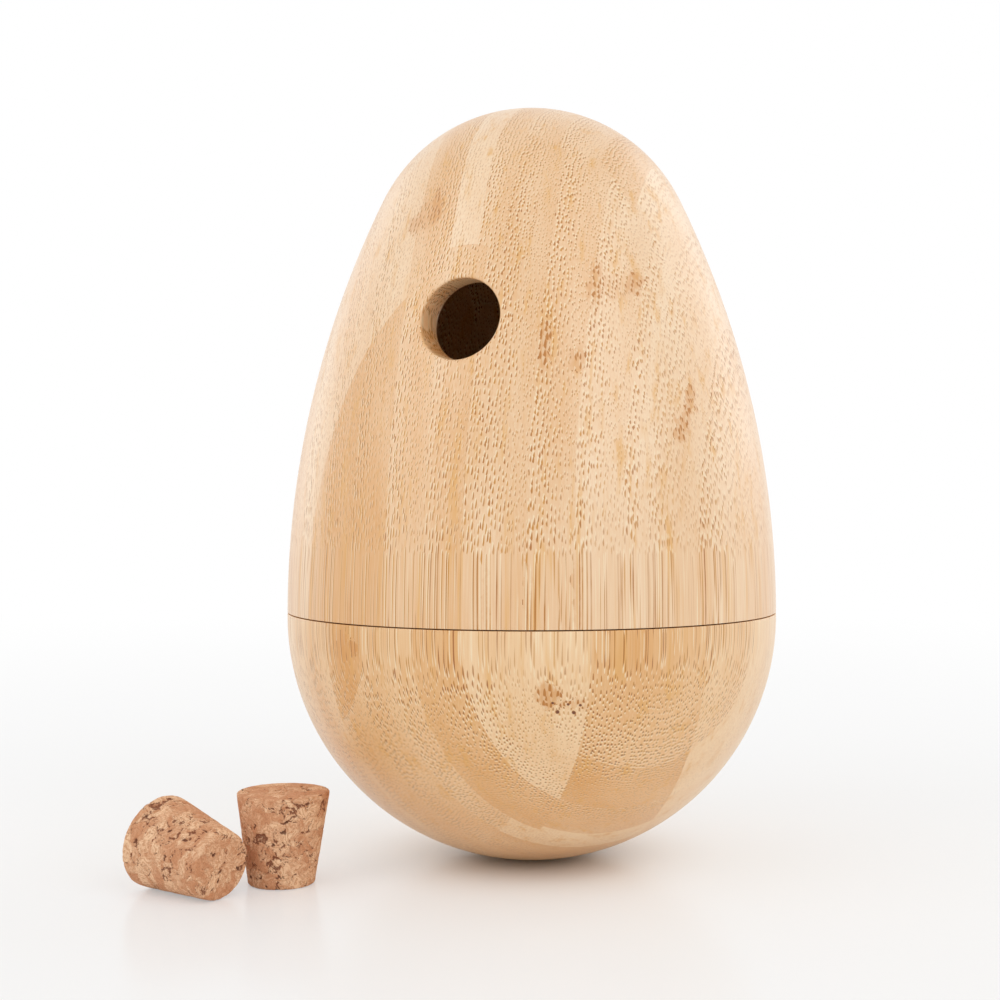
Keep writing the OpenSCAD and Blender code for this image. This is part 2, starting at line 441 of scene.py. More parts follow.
distance = reckon(grain, "MULTIPLY", distance, ease(grain, from_bark, 1.0, 6.0, 0.85, 1.15))
distance = reckon(grain, "MULTIPLY", distance, ease(grain, given["Stain"], 0.0, 1.0, 1.0, 0.8))
cap_and_shade_side = along_with(grain, "DOT_PRODUCT", offset, (0.92, -0.4, 0))
# Dark side and pale side of each bundle: partly its own colours, partly painted shade and painted highlight
cap = reckon(grain, "MULTIPLY", ease(grain, distance, 1.0, 0.75), ease(grain, cap_and_shade_side, -0.3, 0.1))
vessel_and_highlight = reckon(grain, "MULTIPLY", ease(grain, distance, 1.1, 0.85), ease(grain, cap_and_shade_side, -0.1, -0.4))

# How strongly each bundle shows
kept = reckon(grain, "MAXIMUM", ease(grain, luck, 0.02, 0.14), given["Stain"])
patches = along_with(grain, "MULTIPLY", given["Plan"], (0.5, 0.5, 0.12))
patchy = noise(grain, patches, 2.0)[0]
strength = reckon(grain, "MULTIPLY", kept, ease(grain, patchy, 0.34, 0.62, 0.65, 1.2))
strength = reckon(grain, "MULTIPLY", strength, bundle_share)
strength = reckon(grain, "MULTIPLY", strength, ease(grain, from_bark, 1.0, 6.5, 1.4, 0.9))
strength = reckon(grain, "MULTIPLY_ADD", given["Stain"], 0.9, strength)
dark = wire(grain, "Math", cap, strength, operation="MULTIPLY", use_clamp=True).outputs[0]
vessel_and_highlight_shown = wire(grain, "Math", vessel_and_highlight, strength, operation="MULTIPLY", use_clamp=True).outputs[0]

# The ground between the bundles, with its fine fibres, slow changes of tone and golden sappy streaks
fine = along_with(grain, "MULTIPLY", bundle_plan, (3.2, 3.2, 0.05))
fibres = noise(grain, fine, 2.0, 0.6)[0]
broad = along_with(grain, "MULTIPLY", given["Plan"], (0.16, 0.06, 0.02))
clouds = noise(grain, broad, 2.0)[0]
depth = varied(grain, clouds, 0.8, tone)
depth = varied(grain, fibres, 0.7, depth)
depth = wire(grain, "Math", depth, 0.0, operation="ADD", use_clamp=True).outputs[0]
ground = mixed(grain, depth, given["Pale"], given["Tan"])
streaks = along_with(grain, "MULTIPLY", bundle_plan, (0.6, 0.35, 0.02))
sappy = noise(grain, streaks, 3.0, 0.6)[0]
ground = mixed(grain, ease(grain, sappy, 0.5, 0.75, 0.0, 0.7), ground, shade(230, 172, 88))
# The pale vessels: partly the wood's own colour, partly a painted highlight beside each dark cap
ground = mixed(grain, reckon(grain, "MULTIPLY", vessel_and_highlight_shown, 0.65), ground, shade(255, 238, 204))
golden = mixed(grain, reckon(grain, "MULTIPLY", tint_luck, 0.6), given["Dots"], shade(222, 158, 54))
golden = mixed(grain, given["Stain"], golden, shade(158, 88, 0))
ground = mixed(grain, reckon(grain, "MULTIPLY", dark, 0.95), ground, golden)
ground = mixed(grain, reckon(grain, "MULTIPLY", given["Stain"], 0.55), ground, shade(210, 138, 50))
ground = mixed(grain, ease(grain, given["Stain"], 1.0, 1.3), ground, shade(116, 58, 6))
grain.links.new(ground, result["Color"])
grain.links.new(reckon(grain, "MULTIPLY_ADD", dark, 0.14, 0.34), result["Roughness"])
grain.links.new(fibres, result["Height"])


def lay_row(tree, across, strips):
    """A row of strips glued face to face, each given as (start, tone, bundles). The sum of the steps at the
    edges that a point is past gives the strip it is in: where it starts, its tone from 0 pale to 1 tan, and
    how strongly its bundles show, below 0 where the bark side is at the far edge."""
    laid = wire(tree, "CombineXYZ", *strips[0]).outputs[0]
    for before, strip in zip(strips, strips[1:]):
        past_edge = reckon(tree, "GREATER_THAN", across, float(strip[0]))
        step = [after - earlier for earlier, after in zip(before, strip)]
        laid = along_with(tree, "MULTIPLY_ADD", past_edge, step, laid)
    return laid


edge_bend = 0.9
blot_reach = 4.0
pit_size = 1.0


def lay_block(name, rows, joints, stains):
    """A group for one laminated block: rows of strips from front to back, the end joint between each row and
    the next as steps (start across, place along), and node stains as (middle, radii, strength) blobs, with
    ragged edges unless they are as small as a pit. It takes the place in plan, turned to the strips, and in
    the part's own frame, both in millimetres, and gives the strip and the stain."""
    block, given, result = group_of(
        name, {"Plan": "Vector", "Place": "Vector"}, {"Strip": "Vector", "Stain": "Float"}
    )
    bend = along_with(block, "MULTIPLY", given["Plan"], (0.05, 0.05, 0.02))
    bend = centred(block, noise(block, bend, 1.0)["Color"], edge_bend)
    across, along, _ = wire(block, "SeparateXYZ", along_with(block, "ADD", given["Plan"], bend)).outputs
    strip = lay_row(block, across, rows[0])
    for row, joint in zip(rows[1:], joints):
        joint_row = lay_row(block, across, [(start, place, 0) for start, place in joint])
        behind = reckon(block, "GREATER_THAN", along, wire(block, "SeparateXYZ", joint_row).outputs[1])
        strip = mixed(block, behind, strip, lay_row(block, across, row))
    blot = centred(block, noise(block, given["Place"], 3.0, scale=0.45)["Color"], blot_reach)
    ragged_place = along_with(block, "ADD", given["Place"], blot)
    stain = 0.0
    for middle, radii, strength in stains:
        is_pit = max(radii) < pit_size
        away = along_with(block, "SUBTRACT", given["Place"] if is_pit else ragged_place, middle)
        away = along_with(block, "LENGTH", along_with(block, "DIVIDE", away, radii))
        stain = reckon(block, "MAXIMUM", ease(block, away, 1.0, 0.45, 0.0, strength), stain)
    block.links.new(strip, result["Strip"])
    block.links.new(stain, result["Stain"])
    return block


def embossed(tree, principled, height, strength, reach):
    """Raises the shading of a surface by a height from 0 to 1 that stands for a reach in metres."""
    bump = wire(tree, "Bump", strength, reach)
    tree.links.new(height, bump.inputs["Height"])
    tree.links.new(bump.outputs[0], principled.inputs["Normal"])


def bamboo_finish(name, block, turn, packing, bundle, pale, tan, dots, wax=0.5):
    """Waxed bamboo cut from one block, whose strips are turned in plan by a number of degrees. Packing is the
    bundles to a millimetre across the strips and along them, and bundle is half of one's size in millimetres.
    Pale and tan are the ends of the ground's tones, and dots is the colour of a bundle's dark cap."""
    material, tree, principled = finish_of(name)
    place = wire(tree, "TexCoord").outputs["Object"]
    in_mm = wire(tree, "Mapping", place, None, None, to_mm).outputs[0]
    plan = wire(tree, "Mapping", place, None, (0, 0, math.radians(turn)), to_mm).outputs[0]
    laid = wire(tree, "Group", node_tree=block)
    grained = wire(tree, "Group", node_tree=grain)
    own = {"Packing": packing, "Bundle": bundle, "Pale": pale, "Tan": tan, "Dots": dots}
    for label, value in own.items():
        grained.inputs[label].default_value = value
    for source, target in (
        (plan, laid.inputs["Plan"]),
        (in_mm, laid.inputs["Place"]),
        (plan, grained.inputs["Plan"]),
        (laid.outputs["Strip"], grained.inputs["Strip"]),
        (laid.outputs["Stain"], grained.inputs["Stain"]),
        (grained.outputs["Color"], principled.inputs["Base Color"]),
        (grained.outputs["Roughness"], principled.inputs["Roughness"]),
    ):
        tree.links.new(source, target)
    embossed(tree, principled, grained.outputs["Height"], 0.2, 0.0001)
    principled.inputs["Coat Weight"].default_value = wax
    principled.inputs["Coat Roughness"].default_value = 0.38
    return material


lower_turn = 42.6
lower_block = lay_block(
    "lower_block",
    rows=[
        [(-60, 0.4, 0.8), (-44, 0.5, 0.8), (-36, 0.3, 0.7), (-28, 0.55, 0.8), (-20, 0.4, 0.7),
         (-12, 0.3, 0.8), (-5, 0.3, 0.8), (2, 0.45, 0.9), (10, 0.85, 1.0), (20, 0.6, 1.0), (30, 0.4, 0.8)],
        [(-60, 0.35, 0.8), (-41, 0.5, 0.7), (-33, 0.25, 0.8), (-25.5, 0.45, 0.8), (-18, 0.3, 0.7),
         (-10.5, 0.4, 0.8), (-4, 0.35, 0.75), (3.5, 0.4, 0.8), (10.5, 0.5, 0.9), (18.9, 0.55, 1.0),
         (26.1, 0.45, 1.0), (30.5, 0.7, -1.0), (38, 0.22, 0.6), (45, 0.22, 0.45)],
        [(-60, 0.3, 0.8), (-44, 0.5, 0.8), (-36.5, 0.3, 0.7), (-29, 0.45, 0.8), (-21, 0.35, 0.8),
         (-13.5, 0.5, 0.8), (-6, 0.3, 0.7), (2, 0.4, 0.8), (10.5, 0.55, 0.9), (18.7, 0.65, 1.0),
         (25.8, 0.2, 0.3), (31.6, 0.65, -1.1), (38.2, 0.75, -1.1), (44.8, 0.58, 1.5)],
        [(-60, 0.4, 0.6), (-45, 0.3, 0.6), (-37.5, 0.5, 0.6), (-30, 0.35, 0.7), (-22, 0.5, 0.6),
         (-14.5, 0.3, 0.6), (-7, 0.45, 0.7), (0.5, 0.3, 0.5), (8, 0.4, 0.6), (15.5, 0.3, 0.5),
         (23, 0.35, 0.5), (30, 0.25, 0.3), (37.5, 0.2, 0.3), (45, 0.35, 0.6), (49.7, 0.45, 0.7)],
    ],
    joints=[[(-60, -47.5)], [(-60, -12), (3.5, -16), (18.7, -21), (30.5, -14.6)], [(-60, 8), (18.7, 10.5)]],
    stains=[
        ((-21.6, -47.2, 49.3), (1.3, 3.0, 1.6), 0.9),
        ((-19.9, -48.0, 47.8), (1.3, 3.0, 2.2), 1.0),
        ((-22.5, -46.8, 48.0), (3.2, 3.0, 5.0), 0.5),
        ((19.2, -46.9, 40.2), (2.6, 4.0, 3.4), 1.0),
        ((23.0, -44.6, 38.6), (3.6, 4.0, 1.3), 0.55),
        ((20.6, -45.5, 37.2), (0.5, 0.95, 0.55), 1.5),
        ((23.3, -44.1, 37.0), (0.5, 0.95, 0.5), 1.5),
        ((19.9, -46.3, 38.9), (0.4, 0.95, 0.4), 1.4),
        ((22.5, -45.1, 38.6), (0.4, 0.95, 0.4), 1.4),
        ((24.5, -43.9, 38.4), (0.4, 0.95, 0.4), 1.4),
    ],
)
# The bowl's ground is a little more orange than the cap's. This is partly its own block's tone and partly
# painted light: more orange for the lesser light on the bowl, and lifted overall for the light the table
# throws up
lower_bamboo = bamboo_finish(
    "lower_bamboo", lower_block, lower_turn, packing=(2.6, 1.5, 1), bundle=(0.14, 0.175, 1),
    pale=shade(251, 219, 176), tan=shade(225, 162, 86), dots=shade(162, 92, 20),
)
lower_shell.data.materials.append(lower_bamboo)
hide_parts("lower_shell")
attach(lower_shell, "bowl")

# Upper shell
# The tall cap of the egg, turned from a second block whose strips run straight from front to back. Two
# treat holes are bored through it in line, their rims are rounded over, and their walls are hardly waxed.
crown_r = 35.4
hole_r = 8.0
hole_rise = 59.0
rim = 0.55
spigot_gap = 0.15
shoulder_gap = 0.3
seam_relief = 0.24
seam_depth, seam_slope = 2.2, 0.4
bore_wax = 0.1

# The flank is an arc whose middle lies at the seam's height, and it runs on into the crown's ball. Heights
# here are above the seam, and the rows and columns of faces round each hole make a block that the hole's
# own rings replace
crown_mid = cap_high[2] - seam_z - crown_r
flank_r = (waist_r**2 + crown_mid**2 - crown_r**2) / (2 * (waist_r - crown_r))
join_angle = math.degrees(math.atan(crown_mid / (flank_r - waist_r)))
hole_z = seam_z + hole_rise
socket_r = spigot_r + spigot_gap
socket_top = spigot_top + shoulder_gap
relief_z = parting_z + seam_relief
block_half = 13.0
block_rows = 24
block_columns = 13


def join_height(inset):
    """Height at which the flank meets the crown's ball, for a shell thinner by inset."""
    return crown_mid + (crown_r - inset) * math.sin(math.radians(join_angle))


def egg_radius(height, inset):
    """Radius of the egg at a height above the seam, thinner by inset: the flank's arc up to the join, and
    the crown's ball above it, both as the square root of their radius squared less the height squared."""
    join = join_height(inset)
    flank = waist_r - flank_r + np.sqrt((flank_r - inset) ** 2 - np.minimum(height, join) ** 2)
    ball = np.sqrt(np.maximum((crown_r - inset) ** 2 - (np.maximum(height, join) - crown_mid) ** 2, 0))
    return np.where(height < join, flank, ball)


def flank(high, low, steps, inset):
    """Points of the flank from one height above the seam down to another."""
    heights = np.linspace(high, low, steps)
    return np.stack([egg_radius(heights, inset), seam_z + heights], 1)


def egg_side(inset, lowest):
    """The side of the egg from its crown down to a height above the seam, with even rows beside the holes.
    It gives the points, and the place of the first row beside the holes."""
    high, low = hole_rise + block_half, hole_rise - block_half
    crown = arc(0, seam_z + crown_mid, crown_r - inset, 90, join_angle, 40)
    above = flank(join_height(inset), high, 16, inset)[1:-1]
    beside = flank(high, low, block_rows + 1, inset)
    below = flank(low, lowest, 44, inset)[1:]
    return np.concatenate([crown, above, beside, below]), len(crown) + len(above)


outer_side, outer_row = egg_side(0, relief_z + 0.2 - seam_z)
inner_side, inner_row = egg_side(wall, socket_top - seam_z + 0.4)
inner_side = inner_side[::-1]
shoulder_r = inner_side[0, 0]
socket = softened(
    [
        (*outer_side[-1], 0),
        (waist_r - edge_inset, relief_z, 0.08),
        (waist_r - seam_depth, relief_z, 0.2),
        (waist_r - seam_depth - seam_slope, parting_z, 0.2),
        (socket_r, parting_z, 0.3),
        (socket_r, socket_top, 0.15),
        (shoulder_r, socket_top, 0.35),
        (*inner_side[0], 0),
    ]
)
cap_line = np.concatenate([outer_side, closer(socket, face_step)[1:-1], inner_side])
cap_line[0, 0] = cap_line[-1, 0] = 0
points, walls, caps = turned(cap_line, turn_count)
inner_row = len(cap_line) - 1 - inner_row - block_rows
kept_walls = np.ones(walls.shape[:2], bool)


def block_ring(top_row, middle, from_below):
    """The points round a hole's block of faces, from its left low corner as seen from outside: along the low
    side, up the right one, back along the high side and down the left one. The faces in it are given up."""
    left, right = middle - block_columns, middle + block_columns
    low, high = (top_row + block_rows, top_row) if from_below else (top_row, top_row + block_rows)
    step = -1 if from_below else 1
    columns = np.arange(left, right + 1)
    rows = np.arange(low, high, step)
    width, height = len(columns) - 1, len(rows)
    ring_rows = np.concatenate([np.full(width, low), rows, np.full(width, high), rows[::-1] + step])
    ring_columns = np.concatenate(
        [columns[:-1], np.full(height, right), columns[:0:-1], np.full(height, left)]
    )
    kept_walls[top_row - 1:top_row - 1 + block_rows, left:right] = False
    return (ring_rows - 1) * turn_count + ring_columns


def hole_rings(side, outer_ring, inner_ring):
    """The rings of points of the hole on one side, -1 in front and 1 behind, from the block's outer ring to
    its inner one: shares of the way from the block to the rim, the rim's quarter round, the bore, and the
    same again inside. It gives them with the strips between rings, in order, that are the bored wall."""

    def on_shell(places, inset, sunk=0.0):
        """Points over places (right, up) seen from outside, on the shell thinned by inset, sunk inwards."""
        reach = np.sqrt(egg_radius(places[:, 1] + hole_z - seam_z, inset) ** 2 - places[:, 0] ** 2)
        return np.stack([places[:, 0] * -side, (reach - sunk) * side, places[:, 1] + hole_z], 1)

    def rounded(turn, inset, way):
        """A ring of a rim's quarter round: out by 1 - sin and down by 1 - cos of its turn, times the rim."""
        places = direction * (hole_r + rim * (1 - math.sin(turn)))
        return on_shell(places, inset, way * rim * (1 - math.cos(turn)))

    outer_edge, inner_edge = (
        np.stack([points[ring, 0] * -side, points[ring, 2] - hole_z], 1) for ring in (outer_ring, inner_ring)
    )
    direction = outer_edge / np.linalg.norm(outer_edge, axis=1)[:, None]
    rim_edge = direction * (hole_r + rim)
    shares = np.linspace(0, 1, 9)[1:-1]
    turns = np.radians(np.linspace(0, 90, 6))
    outside = [on_shell(outer_edge * (1 - s) + rim_edge * s, 0) for s in shares]
    outside += [rounded(turn, 0, 1) for turn in turns]
    inside = [rounded(turn, wall, -1) for turn in turns[::-1]]
    bore = [outside[-1] * (1 - s) + inside[0] * s for s in np.linspace(0, 1, 10)[1:-1]]
    inside += [on_shell(inner_edge * s + rim_edge * (1 - s), wall) for s in shares]
    return outside + bore + inside, range(len(outside) - 1, len(outside) + len(bore) + 1)


all_points, all_faces, slots = [points], [], []
next_point = len(points)
for side in (-1, 1):
    middle = turn_count // 2 - side * turn_count // 4
    outer_ring = block_ring(outer_row, middle, from_below=True)
    inner_ring = block_ring(inner_row, middle, from_below=False)
    new_rings, wall_strips = hole_rings(side, outer_ring, inner_ring)
    ring_ids = [outer_ring]
    for ring in new_rings:
        ring_ids.append(np.arange(next_point, next_point + len(ring)))
        next_point += len(ring)
        all_points.append(ring)
    ring_ids.append(inner_ring)
    for strip, (before, after) in enumerate(zip(ring_ids, ring_ids[1:])):
        all_faces.append(np.stack([before, np.roll(before, -1), np.roll(after, -1), after], 1))
        slots.append(np.full(len(before), strip in wall_strips))

walls = walls[kept_walls]
faces = np.concatenate([walls, *all_faces]).tolist() + caps
slots = np.concatenate([np.zeros(len(walls)), *slots, np.zeros(len(caps))]).astype(np.int32)
upper_shell = smooth_mesh("upper_shell_turned", np.concatenate(all_points), faces)

upper_block = lay_block(
    "upper_block",
    rows=[
        [(-60, 0.4, 0.8), (-44.5, 0.5, 0.8), (-36.5, 0.6, 0.8), (-28.4, 0.75, 0.8), (-20.4, 0.7, 0.8),
         (-12.2, 0.55, 1.0), (-3.9, 0.5, 0.6), (-2, 0.6, 0.7), (4, 0.45, 0.8), (7.5, 0.5, 0.8),
         (15.6, 0.45, 0.8), (23.6, 0.3, 0.6), (31.6, 0.3, 0.55), (39.8, 0.45, 0.9), (47.8, 0.5, 0.6)],
        [(-60, 0.3, 0.8), (-44.2, 0.4, 0.7), (-36.2, 0.3, 0.7), (-28.4, 0.35, 0.7), (-20.4, 0.3, 0.7),
         (-12.2, 0.55, -1.0), (-3.9, 0.22, 0.35), (1.8, 0.45, 0.8), (7.2, 0.42, 0.75), (13.7, 0.4, 0.8),
         (21.2, 0.55, 0.75), (28.3, 0.25, 0.45), (35.6, 0.25, 0.45), (43, 0.35, 0.6)],
        [(-60, 0.3, 0.6), (-46, 0.45, 0.7), (-38, 0.3, 0.5), (-30, 0.5, 0.6), (-22.3, 0.3, 0.7),
         (-14.5, 0.45, 0.6), (-6.5, 0.3, 0.5), (1.3, 0.5, 0.7), (9, 0.35, 0.6), (17, 0.45, 0.5),
         (25, 0.3, 0.7), (33, 0.4, 0.6), (41, 0.3, 0.5)],
        [(-60, 0.4, 0.6), (-42, 0.3, 0.6), (-34, 0.5, 0.7), (-26, 0.35, 0.6), (-18, 0.45, 0.5),
         (-10, 0.3, 0.7), (-2, 0.5, 0.6), (6, 0.3, 0.5), (14, 0.45, 0.7), (22, 0.35, 0.6),
         (30, 0.5, 0.5), (38, 0.3, 0.6)],
    ],
    joints=[
        [(-60, -39.7), (-3.9, -38), (7.5, -23.7), (15.6, -22), (21.2, -20.3), (28.3, -18), (34, -60)],
        [(-60, 0.5), (7.2, 2)],
        [(-60, 24)],
    ],
    stains=[
        ((-13.0, -32.6, 130.5), (2.2, 4.0, 3.2), 0.8),
        ((-8.4, -33.4, 133.6), (1.8, 4.0, 7.0), 0.85),
        ((-10.6, -33.4, 132.0), (4.0, 4.0, 4.5), 0.5),
        ((16.8, -41.4, 105.5), (1.6, 4.0, 8.0), 0.8),
        ((22.6, -39.4, 102.6), (2.0, 4.0, 3.6), 0.6),
        ((24.2, -33.2, 117.5), (1.5, 4.0, 7.5), 0.6),
        ((27.0, -30.5, 116.6), (4.5, 4.5, 3.6), 0.3),
        ((30.1, -27.2, 118.0), (2.0, 4.0, 3.2), 0.9),
        ((40.4, -24.5, 94.8), (1.2, 5.0, 5.0), 0.9),
        ((39.8, -27.4, 90.0), (1.2, 5.0, 4.5), 0.8),
        ((24.3, -45.8, 59.0), (0.9, 3.0, 9.0), 0.28),
        ((16.0, -49.4, 60.0), (0.7, 3.0, 9.0), 0.28),
        ((8.4, -51.1, 58.0), (0.8, 3.0, 9.0), 0.25),
        ((-27.0, -44.6, 62.0), (1.0, 3.0, 6.0), 0.28),
        ((-5.6, -39.0, 104.8), (3.0, 6.0, 2.6), 1.0),
        ((-7.6, -39.0, 107.6), (1.6, 5.0, 2.4), 0.8),
    ],
)
upper_packing, upper_bundle = (1.4, 2.7, 1), (0.21, 0.145, 1)
# The cap's ground is paler and greyer than the bowl's. This is partly its own block's tone and partly a
# painted sheen for the broad soft reflection and bright light on the cap
upper_bamboo = bamboo_finish(
    "upper_bamboo", upper_block, 0, upper_packing, upper_bundle,
    pale=shade(251, 222, 187), tan=shade(226, 166, 97), dots=shade(174, 104, 20),
)
# The bored walls are paler than the outside. This is partly the raw wood that the wax hardly covers, and
# partly painted light that lifts them out of the shade inside the bore
bored_bamboo = bamboo_finish(
    "bored_bamboo", upper_block, 0, upper_packing, upper_bundle,
    pale=shade(255, 222, 176), tan=shade(250, 190, 128), dots=shade(130, 58, 20), wax=bore_wax,
)
upper_shell.data.materials.append(upper_bamboo)
upper_shell.data.materials.append(bored_bamboo)
upper_shell.data.polygons.foreach_set("material_index", slots)
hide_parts("upper_shell")
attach(upper_shell, "cap")

# Ballast
# A turned steel disc lies in the bowl's pocket under a bamboo cover, and one zinc-plated countersunk wood
# screw holds both down. Its rolled thread is a low ridge wound up the shank.
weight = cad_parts["ballast_weight"]
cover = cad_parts["ballast_cover"]
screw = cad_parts["ballast_screw"]


def dress(node, material):
    """Gives a node of the frame a finish in each of its material slots."""
    for slot in node.material_slots:
        slot.material = material


def metal_finish(name, colour, roughness, ring_scale):
    """Bare turned metal: fine rings left by the tool, round the part's own axis, and a cloudy dulling."""
    material, tree, principled = finish_of(name)
    place = wire(tree, "TexCoord").outputs["Object"]
    flat = along_with(tree, "MULTIPLY", place, (1, 1, 0))
    from_axis = along_with(tree, "LENGTH", flat)
    rings = wire(tree, "TexNoise", None, from_axis, ring_scale, 2.0, noise_dimensions="1D").outputs[0]
    clouds = noise(tree, place, 3.0, scale=90.0)[0]
    tint = ease(tree, reckon(tree, "ADD", rings, clouds), 0.7, 1.3)
    dull = tuple(channel * 0.72 for channel in colour[:3]) + (1.0,)
    rough = ease(tree, clouds, 0.3, 0.7, roughness, roughness + 0.14)
    tree.links.new(mixed(tree, tint, dull, colour), principled.inputs["Base Color"])
    tree.links.new(rough, principled.inputs["Roughness"])
    embossed(tree, principled, rings, 0.3, 0.00004)
    principled.inputs["Metallic"].default_value = 1.0
    return material


turned_steel = metal_finish("turned_steel", shade(176, 178, 182), 0.3, 5200.0)
zinc_plate = metal_finish("zinc_plate", shade(206, 205, 198), 0.34, 2600.0)
dress(weight, turned_steel)
dress(screw, zinc_plate)
cover_turn = 118
cover_bamboo = bamboo_finish(
    "cover_bamboo", lower_block, cover_turn, packing=(1.3, 1.3, 1), bundle=(0.27, 0.25, 1),
    pale=shade(240, 208, 168), tan=shade(218, 164, 104), dots=shade(166, 106, 58),
)
dress(cover, cover_bamboo)

# The thread is a four-sided ridge carried along a helix, clear of the screw's point and of its head. It
# grows over its first half turn and fades over its last
thread_pitch = 1.8
thread_low, thread_high = screw_low[2] + 2.2, weight_high[2] - 4.0
thread_root, thread_crest = 1.7, 1.95
thread_steps = 24
least_ridge = 0.05
thread_turns = (thread_high - thread_low) / thread_pitch
wound = np.linspace(0, thread_turns * 2 * np.pi, round(thread_turns * thread_steps))
run_out = np.clip(np.minimum(wound, wound[-1] - wound) / np.pi, least_ridge, 1)[:, None]
section = np.array([(-0.32, 0.0), (0.0, 1.0), (0.32, 0.0), (0.0, -0.6)])
ridge_r = thread_root + (thread_crest - thread_root) * run_out * section[:, 1]
ridge_z = thread_low + thread_pitch * wound[:, None] / (2 * np.pi) + section[:, 0] * run_out
ridge = np.stack([ridge_r * np.cos(wound)[:, None], ridge_r * np.sin(wound)[:, None], ridge_z], -1)
sides = len(section)
place, side = np.meshgrid(np.arange(len(wound) - 1), np.arange(sides), indexing="ij")
here, beside = place * sides + side, place * sides + (side + 1) % sides
ridge_faces = np.stack([here, here + sides, beside + sides, beside], -1).reshape(-1, 4).tolist()
ends = np.arange(len(wound) * sides).reshape(-1, sides)
ridge_faces += [ends[0].tolist(), ends[-1, ::-1].tolist()]
screw_thread = smooth_mesh("ballast_screw_thread", ridge.reshape(-1, 3), ridge_faces)
screw_thread.data.materials.append(zinc_plate)
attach(screw_thread, "bowl")

# Seal ring
# A moulded silicone O-ring in the spigot's groove. It grips the socket, so the egg holds together when it
# is knocked about, and a faint line round it shows where its mould parted.
ring_half = ring_thickness / 2
ring_mid_r, ring_mid_z = ring_high[0] - ring_half, (ring_high[2] + ring_low[2]) / 2
mould_line = 0.04
mould_sharpness = 24
ring_turns, tube_turns = 320, 28

# A ring's section is a circle with a fine ridge at its inmost and outmost points: its radius is lower by
# the mould line, and that comes back as the cosine's size to a high power. The section is turned round Z
turns = np.linspace(0, 2 * np.pi, ring_turns, endpoint=False)
round_it = np.linspace(0, 2 * np.pi, tube_turns, endpoint=False)
tube_r = ring_half - mould_line + mould_line * np.abs(np.cos(round_it)) ** mould_sharpness
tube = np.stack([ring_mid_r + tube_r * np.cos(round_it), ring_mid_z + tube_r * np.sin(round_it)], 1)
ring_points = np.stack(
    [np.outer(np.cos(turns), tube[:, 0]), np.outer(np.sin(turns), tube[:, 0]),
     np.tile(tube[:, 1], (ring_turns, 1))], -1,
).reshape(-1, 3)
ids = np.arange(ring_turns * tube_turns).reshape(ring_turns, tube_turns)
next_ids = np.roll(ids, -1, axis=0)
ring_faces = np.stack([ids, next_ids, np.roll(next_ids, -1, axis=1), np.roll(ids, -1, axis=1)], -1)
seal_ring = smooth_mesh("seal_ring_moulded", ring_points, ring_faces.reshape(-1, 4).tolist())
silicone, tree, principled = finish_of("silicone")
bloom = noise(tree, wire(tree, "TexCoord").outputs["Object"], 4.0, scale=260.0)[0]
colour = mixed(tree, ease(tree, bloom, 0.35, 0.7), shade(236, 233, 224), shade(218, 214, 204))
tree.links.new(colour, principled.inputs["Base Color"])
tree.links.new(ease(tree, bloom, 0.3, 0.7, 0.36, 0.52), principled.inputs["Roughness"])
principled.inputs["Subsurface Weight"].default_value = 0.3
principled.inputs["Subsurface Radius"].default_value = (0.001, 0.001, 0.001)
seal_ring.data.materials.append(silicone)
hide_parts("seal_ring")
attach(seal_ring, "ring")

# Corks
# Two tapered stoppers ground from pressed cork: grains of two to four millimetres, flattened where they
# were pressed together, with dark bark and open pits between them. One stands and one lies by the egg.
stand_low, stand_high = millimetres(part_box("standing_cork"))
lie_low = millimetres(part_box("lying_cork"))[0]
cork_length = stand_high[2] - stand_low[2]
cork_large_r = (stand_high[0] - stand_low[0]) / 2
cork_small_r = 6.6
cork_edge = 0.5
cork_taper = math.atan((cork_large_r - cork_small_r) / cork_length)
cork_step = 0.25
cork_turns = 232
grain_count, hollow_count = 620, 36
pressing = 1.5
crack_depth, pit_depth, lump_depth = 0.28, 0.55, 0.07
lean = math.tan(math.radians(1.2))
lie_turn = math.radians(-18.8)
cork_marks = ("grain_tone", "layer", "crack", "pit")
cork_line = closer(
    softened(
        [
            (0, cork_length, 0),
            (cork_large_r, cork_length, cork_edge),
            (cork_small_r, 0, cork_edge),
            (0, 0, 0),
        ]
    ),
    cork_step,
)


def waves(points, count, shortest, longest, luck):
    """A smooth uneven value about nought at each point: a sum of sines along random directions, over the
    square root of their count."""
    directions = luck.normal(size=(count, 3))
    directions /= np.linalg.norm(directions, axis=1)[:, None]
    pace = 2 * np.pi / luck.uniform(shortest, longest, count)
    phases = points @ (directions * pace[:, None]).T + luck.uniform(0, 2 * np.pi, count)
    return np.sin(phases).sum(1) / math.sqrt(count)


def bends(points, count, shortest, longest, luck):
    """A smooth uneven shift of each point: waves of its own along X, Y and Z."""
    return np.stack([waves(points, count, shortest, longest, luck) for _ in range(3)], 1)


def level(value, low, high):
    """Smooth step from 0 at low to 1 at high: 3t^2 - 2t^3 for the share t of the way."""
    share = np.clip((value - low) / (high - low), 0, 1)
    return share * share * (3 - 2 * share)


